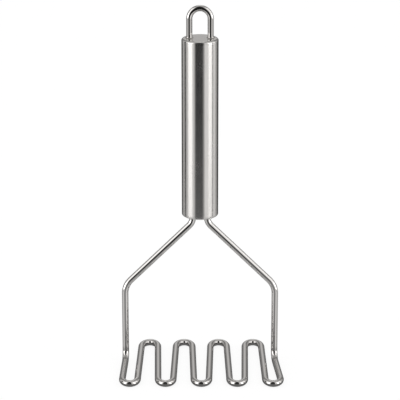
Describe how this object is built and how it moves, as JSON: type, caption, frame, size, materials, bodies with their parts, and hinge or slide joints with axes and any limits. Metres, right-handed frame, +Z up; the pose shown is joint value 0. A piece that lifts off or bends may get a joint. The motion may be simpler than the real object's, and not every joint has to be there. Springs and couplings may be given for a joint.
{
  "type": "potato masher",
  "caption": "Hand masher with a flat wave of bent round wire on two legs, a closed tubular steel handle and a wire hanging loop.",
  "frame": {"origin": "middle of the wave's outline on the surface that it stands on", "axes": "+Z up along the handle, from the wave to the hanging loop; -Y to the front, where the wave reaches out furthest from the handle; +X to the right seen from the front"},
  "size_m": [0.1042, 0.0736, 0.2353],
  "materials": {
    "head_wire": "bright polished stainless wire",
    "handle_tube": "satin stainless tube, fine lengthwise grain",
    "handle_caps": "smooth polished stainless",
    "loop_wire": "bright polished stainless wire",
    "welds": "brushed-down weld metal"
  },
  "bodies": {
    "root": {"masher_wire": "head_wire", "handle_tube": "handle_tube", "bottom_cap": "handle_caps", "top_cap": "handle_caps", "hanging_loop": "loop_wire", "neck_weld_left": "welds", "neck_weld_right": "welds", "loop_weld_left": "welds", "loop_weld_right": "welds"}
  },
  "joints": []
}
